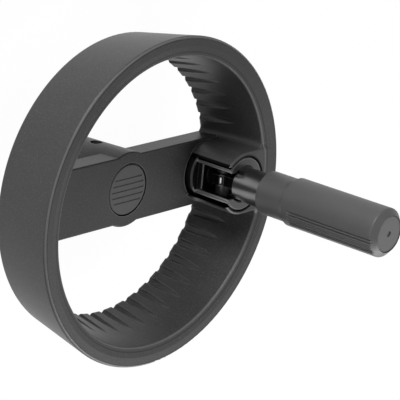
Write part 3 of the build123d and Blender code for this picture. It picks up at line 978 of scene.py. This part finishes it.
@dataclass
class Grip(Assembly):
    """The revolving grip: a lathed sleeve with two groups of soft grooves, its bushes and its cap.

    The grooves keep their depth below the skin, so they run out where the bevel meets them. Each
    group has two pairs of main grooves, main_middle to either side of its centre, and three fine
    ones between them. Heights are measured from the collar's inner end, outwards along the handle,
    and angles are in degrees about the handle's axis.
    """

    name: str = "grip"
    finishes: Mapping[str, Finish] = field(default_factory=lambda: {
        "end_cap": END_CAP, "inner_bush": BRONZE, "outer_bush": BRONZE})
    axis_x: float = 55.0 * MM
    base: float = 76.0 * MM
    length: float = 71.6 * MM
    radius: float = 11.9 * MM
    collar_radius: float = 10.8 * MM
    collar_length: float = 12.4 * MM
    swell: float = 4.4 * MM
    bevel_width: float = 2.9 * MM
    bevel_length: float = 2.7 * MM
    edge: float = 0.5 * MM
    collar_bore: float = 9.0 * MM
    collar_depth: float = 6.0 * MM
    bush_bore: float = 5.55 * MM
    pocket_radius: float = 7.6 * MM
    pocket_depth: float = 10.6 * MM
    seat_radius: float = 8.85 * MM
    seat_depth: float = 1.6 * MM
    groove_start: float = 20.6 * MM
    groove_taper: float = 0.9 * MM
    first_group: float = -154.0
    second_group: float = 45.0
    main_middle: float = 15.0
    main_spread: float = 3.5
    main_half: float = 2.9
    main_depth: float = 0.72 * MM
    fine_pitch: float = 4.5
    fine_half: float = 1.7
    fine_depth: float = 0.26 * MM
    segments: int = 900
    corner_steps: int = 4
    swell_steps: int = 12
    lead_steps: int = 3
    taper_steps: int = 12
    skin_steps: int = 8
    bevel_steps: int = 10

    def rounded(self, corner: OutlinePoint, before: OutlinePoint,
                after: OutlinePoint) -> list[OutlinePoint]:
        """Rounds one corner of the outline.

        Args:
            corner: The corner.
            before: The point that the outline comes from.
            after: The point that it goes to.

        Returns:
            Points along the rounding.
        """
        middle, start, stop = Vector(corner), Vector(before), Vector(after)
        start = middle + (start - middle).normalized() * self.edge
        stop = middle + (stop - middle).normalized() * self.edge
        points = []
        for step in range(self.corner_steps + 1):
            t = step / self.corner_steps
            points.append(tuple(start * (1 - t) ** 2 + middle * (2 * t * (1 - t)) + stop * t ** 2))
        return points

    def outside(self) -> list[OutlinePoint]:
        """Draws the outline from the collar's end over the skin to the grip's tip.

        Its points stand close together round groove_start, where the grooves deepen.

        Returns:
            Its points as (radius, height).
        """
        skin_low = self.collar_length + self.swell
        skin_high = self.length - self.bevel_length
        high = skin_high - self.edge
        start = self.groove_start - 2 * self.groove_taper
        low = start + 3 * self.groove_taper
        tip = (self.radius - self.bevel_width, self.length)
        points = self.rounded(
            (self.collar_radius, 0.0), (self.collar_bore, 0.0), (self.collar_radius, self.collar_length))
        for step in range(self.swell_steps + 1):
            turn = math.pi / 2 * step / self.swell_steps
            points.append((self.collar_radius + (self.radius - self.collar_radius) * (1 - math.cos(turn)),
                           self.collar_length + self.swell * math.sin(turn)))
        points += [(self.radius, skin_low + (start - skin_low) * step / self.lead_steps)
                   for step in range(1, self.lead_steps)]
        points += [(self.radius, start + 3 * self.groove_taper * step / self.taper_steps)
                   for step in range(self.taper_steps + 1)]
        points += [(self.radius, low + (high - low) * step / self.skin_steps)
                   for step in range(1, self.skin_steps)]
        points += self.rounded((self.radius, skin_high), (self.radius, 0.0), tip)
        points += [(self.radius - self.bevel_width * step / self.bevel_steps,
                    skin_high + self.bevel_length * step / self.bevel_steps)
                   for step in range(2, self.bevel_steps)]
        return [*points, tip]

    def inside(self) -> list[OutlinePoint]:
        """Draws the outline from the cap's seat through the bore to the collar.

        Returns:
            Its points as (radius, height).
        """
        seat, pocket = self.length - self.seat_depth, self.length - self.pocket_depth
        return [
            (self.seat_radius, self.length), (self.seat_radius, seat), (self.pocket_radius, seat),
            (self.pocket_radius, pocket), (self.bush_bore, pocket), (self.bush_bore, self.collar_depth),
            (self.collar_bore, self.collar_depth), (self.collar_bore, 0.0)]

    def groove(self, distance: Value, half: Value) -> Value:
        """Shapes a soft round-bottomed groove.

        Args:
            distance: Angle from the groove's middle.
            half: Half the groove's angle.

        Returns:
            1 at the groove's middle, 0 from its edge on.
        """
        inside = 1.0 - (distance / half).least(1.0) ** 2.0
        return inside * inside * (3.0 - 2.0 * inside)

    def depth(self, tree: RuleTree, turn: Value) -> Value:
        """Finds how deep the grooves are at an angle.

        Args:
            tree: The tree being built.
            turn: The angle about the handle's axis.

        Returns:
            The depth in metres.
        """
        groups = [
            tree.math("ABSOLUTE", tree.math("WRAP", turn - tree.size(name), HALF_TURN, -HALF_TURN))
            for name in ("First group", "Second group")]
        from_group = groups[0].least(groups[1])
        from_pair = tree.math("ABSOLUTE", from_group - tree.size("Main middle"))
        main = tree.math("ABSOLUTE", from_pair - tree.size("Main spread"))
        fine = from_group.least(tree.math("ABSOLUTE", from_group - tree.size("Fine pitch")))
        return (self.groove(main, tree.size("Main half")) * tree.size("Main depth")
                + self.groove(fine, tree.size("Fine half")) * tree.size("Fine depth"))

    def sleeve(self) -> bpy.types.Object:
        """Lathes the outline and sinks the grooves.

        Returns:
            The sleeve.
        """
        outline = self.outside() + self.inside()
        rows = float(len(outline))
        tree = RuleTree("grip_rule", {
            "First group": self.first_group, "Second group": self.second_group,
            "Main middle": self.main_middle, "Main spread": self.main_spread,
            "Main half": self.main_half, "Main depth": self.main_depth,
            "Fine pitch": self.fine_pitch, "Fine half": self.fine_half, "Fine depth": self.fine_depth,
            "Groove start": self.groove_start, "Groove taper": self.groove_taper,
            "Skin": self.radius, "Axis X": self.axis_x, "Base": self.base})
        sheet = tree.node("GeometryNodeMeshGrid", None, {
            "Size X": 1.0, "Size Y": 1.0,
            "Vertices X": self.segments + 1, "Vertices Y": len(outline) + 1}, "Mesh")
        place = tree.node("ShaderNodeSeparateXYZ", None, {0: tree.node("GeometryNodeInputPosition")})
        turn = (place + 0.5) * (2 * HALF_TURN)
        row = (place.other("Y") + 0.5) * rows
        index = tree.math("ROUND", tree.math("MODULO", tree.math("ROUND", row), rows))
        corner = tree.node("GeometryNodeSampleIndex", {"data_type": "FLOAT_VECTOR", "domain": "POINT"}, {
            "Geometry": tree.source(), "Value": tree.node("GeometryNodeInputPosition"), "Index": index})
        radius = tree.node("ShaderNodeSeparateXYZ", None, {0: corner})
        height = radius.other("Z")
        start, taper = tree.size("Groove start"), tree.size("Groove taper")
        reach = tree.smooth_step(height, start - taper, start + taper)
        cut = radius.least(tree.size("Skin") - self.depth(tree, turn) * reach)
        angle = turn * (math.pi / HALF_TURN)
        spot = tree.node("ShaderNodeCombineXYZ", None, {
            "X": cut * tree.math("COSINE", angle) + tree.size("Axis X"),
            "Y": cut * tree.math("SINE", angle), "Z": height + tree.size("Base")})
        shape = tree.node("GeometryNodeSetPosition", None, {"Geometry": sheet, "Position": spot})
        tree.close(shape, GRIP_PLASTIC.material())
        piece = tree.run(point_cloud("grip_outline", [(r, 0.0, z) for r, z in outline]), "grip_skin")
        tidy_surface(piece)
        return piece

    def build(self, nodes: Mapping[str, bpy.types.Object]) -> None:
        """Dresses the carried nodes and puts the soft-grooved sleeve in the plain one's place.

        Args:
            nodes: The frame's objects by node name.
        """
        super().build(nodes)
        sleeve = self.sleeve()
        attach(sleeve, "grip")
        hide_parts("grip_sleeve")
        LOG.info("%s: %s in %s", self.name, sleeve.name, GRIP_PLASTIC.name)


@dataclass
class Camera:
    """A long lens that looks down on the front of the wheel from its left."""

    place: Sequence[float] = (-0.6849, 0.2974, 0.6439)
    aim: Sequence[float] = (0.0230, -0.0022, 0.0600)
    upright: Sequence[float] = (0.1788, 0.9464, -0.2689)
    lens: float = 183.6
    sensor: float = 36.0

    def build(self) -> bpy.types.Object:
        """Makes the camera the scene's own.

        Returns:
            The camera.
        """
        data = bpy.data.cameras.new("camera")
        data.lens = self.lens
        data.sensor_width = self.sensor
        made = bpy.data.objects.new("camera", data)
        back = (Vector(self.place) - Vector(self.aim)).normalized()
        right = Vector(self.upright).cross(back).normalized()
        turn = Matrix((right, back.cross(right), back)).transposed().to_4x4()
        made.matrix_world = Matrix.Translation(Vector(self.place)) @ turn
        bpy.context.scene.collection.objects.link(made)
        bpy.context.scene.camera = made
        return made


@dataclass(frozen=True)
class Lamp:
    """A soft rectangular lamp."""

    name: str
    place: Sequence[float]
    aim: Sequence[float]
    size: float
    power: float

    def build(self) -> None:
        """Adds the lamp to the scene."""
        data = bpy.data.lights.new(self.name, "AREA")
        data.size = self.size
        data.energy = self.power
        made = bpy.data.objects.new(self.name, data)
        made.location = self.place
        made.rotation_euler = (Vector(self.aim) - Vector(self.place)).to_track_quat("-Z", "Y").to_euler()
        bpy.context.scene.collection.objects.link(made)


@dataclass
class Studio:
    """Pale floor, even surroundings and soft lamps."""

    floor_half: float = 3.0
    floor_drop: float = 0.1 * MM
    floor_shade: float = 0.5
    floor_white: float = 0.9
    floor_glow: float = 1.08
    ambient: float = 0.02
    lamps: Sequence[Lamp] = field(default_factory=lambda: (
        Lamp("over_lamp", (-0.69, 1.19, 0.29), (0.0, 0.0, 0.05), 0.7, 16.0),
        Lamp("front_lamp", (0.2, -0.5, 0.42), (0.0, 0.0, 0.05), 0.4, 3.2),
        Lamp("side_lamp", (-1.36, 0.0, 0.39), (0.0, 0.0, 0.05), 0.7, 3.4),
    ))

    def white_for_eye(self, graph: Graph) -> Value:
        """Finds the rays that are to see a white background.

        Args:
            graph: The graph of the floor's or the world's material.

        Returns:
            1 on rays from the camera, off gloss and through glass, 0 on all others.
        """
        eye = graph.node("ShaderNodeLightPath", output="Is Camera Ray")
        gloss = graph.node("ShaderNodeLightPath", output="Is Glossy Ray")
        glass = graph.node("ShaderNodeLightPath", output="Is Transmission Ray")
        return eye.most(gloss).most(glass)

    def floor(self) -> None:
        """Adds the floor just under the hub's back face."""
        half = self.floor_half
        mesh = bpy.data.meshes.new("floor")
        corners = [(-half, -half, 0.0), (half, -half, 0.0), (half, half, 0.0), (-half, half, 0.0)]
        mesh.from_pydata(corners, [], [(0, 1, 2, 3)])
        plane = bpy.data.objects.new("floor", mesh)
        bpy.context.scene.collection.objects.link(plane)
        plane.location.z = -self.floor_drop
        material = bpy.data.materials.new("pale_floor")
        material.use_nodes = True
        graph = Graph(material.node_tree)
        matte = graph.node("ShaderNodeBsdfDiffuse", None, {"Color": (*[self.floor_shade] * 3, 1.0)})
        glow = graph.node("ShaderNodeEmission", None, {"Color": WHITE, "Strength": self.floor_glow})
        mixed = graph.node("ShaderNodeMixShader", None, {
            0: self.white_for_eye(graph) * self.floor_white, 1: matte, 2: glow})
        output = graph.tree.nodes.new("ShaderNodeOutputMaterial")
        graph.join(output.inputs["Surface"], mixed)
        mesh.materials.append(material)

    def world(self) -> None:
        """Makes the surroundings even, and white where the camera sees them."""
        world = bpy.data.worlds.new("studio")
        bpy.context.scene.world = world
        world.use_nodes = True
        graph = Graph(world.node_tree)
        strength = self.white_for_eye(graph) * (1.0 - self.ambient) + self.ambient
        light = graph.node("ShaderNodeBackground", None, {"Color": WHITE, "Strength": strength})
        output = graph.tree.nodes.new("ShaderNodeOutputWorld")
        graph.join(output.inputs["Surface"], light)

    def build(self) -> None:
        """Adds the floor, the surroundings and the lamps."""
        self.floor()
        self.world()
        for lamp in self.lamps:
            lamp.build()
            LOG.info("studio: %s", lamp.name)


def main() -> None:
    """Sets the studio and the camera and builds every sub-assembly."""
    logging.basicConfig(level=logging.INFO, format="%(message)s")
    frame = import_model()
    bpy.context.scene.view_settings.view_transform = "Standard"
    Camera().build()
    Studio().build()
    for assembly in (Wheel(), Housing(), Handle(), Grip()):
        assembly.build(frame["nodes"])
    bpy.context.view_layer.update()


if __name__ == "__main__":
    main()
